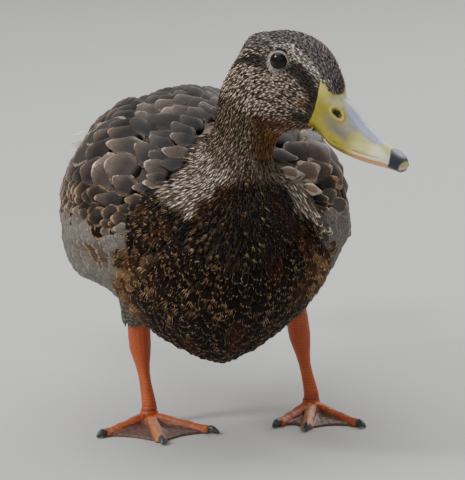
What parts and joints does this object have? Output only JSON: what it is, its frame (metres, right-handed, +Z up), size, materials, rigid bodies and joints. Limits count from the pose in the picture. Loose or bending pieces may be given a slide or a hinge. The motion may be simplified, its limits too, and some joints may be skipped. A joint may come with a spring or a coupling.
{
  "type": "mallard duck",
  "caption": "Life-size standing mallard in brown plumage, head turned to its left, orange webbed feet flat on the floor.",
  "frame": {"origin": "on the floor under the middle of the bird's box", "axes": "+Z up, the bird's body faces -Y and its left side is at +X"},
  "size_m": [0.1716, 0.4214, 0.2396],
  "materials": {
    "body_plumage": "soft body feathers, dark brown with buff fringes",
    "flight_feathers": "wing and tail feathers, grey-brown with pale edges",
    "bill": "smooth satin horn skin, yellow-olive with a grey-blue ridge",
    "eye": "wet gloss, almost black",
    "leg_skin": "scaled orange skin with grey-brown webs",
    "claw_horn": "dark grey horn"
  },
  "bodies": {
    "root": {"trunk": "body_plumage", "neck": "body_plumage", "head": "body_plumage", "tail": "flight_feathers", "wing_left": "flight_feathers", "wing_right": "flight_feathers", "primaries_left": "flight_feathers", "primaries_right": "flight_feathers", "bill_upper": "bill", "bill_lower": "bill", "eye_left": "eye", "eye_right": "eye", "thigh_left": "body_plumage", "thigh_right": "body_plumage", "shank_left": "leg_skin", "shank_right": "leg_skin", "foot_left": "leg_skin", "foot_right": "leg_skin", "hind_toe_left": "leg_skin", "hind_toe_right": "leg_skin", "claw_inner_left": "claw_horn", "claw_middle_left": "claw_horn", "claw_outer_left": "claw_horn", "claw_inner_right": "claw_horn", "claw_middle_right": "claw_horn", "claw_outer_right": "claw_horn"}
  },
  "joints": []
}
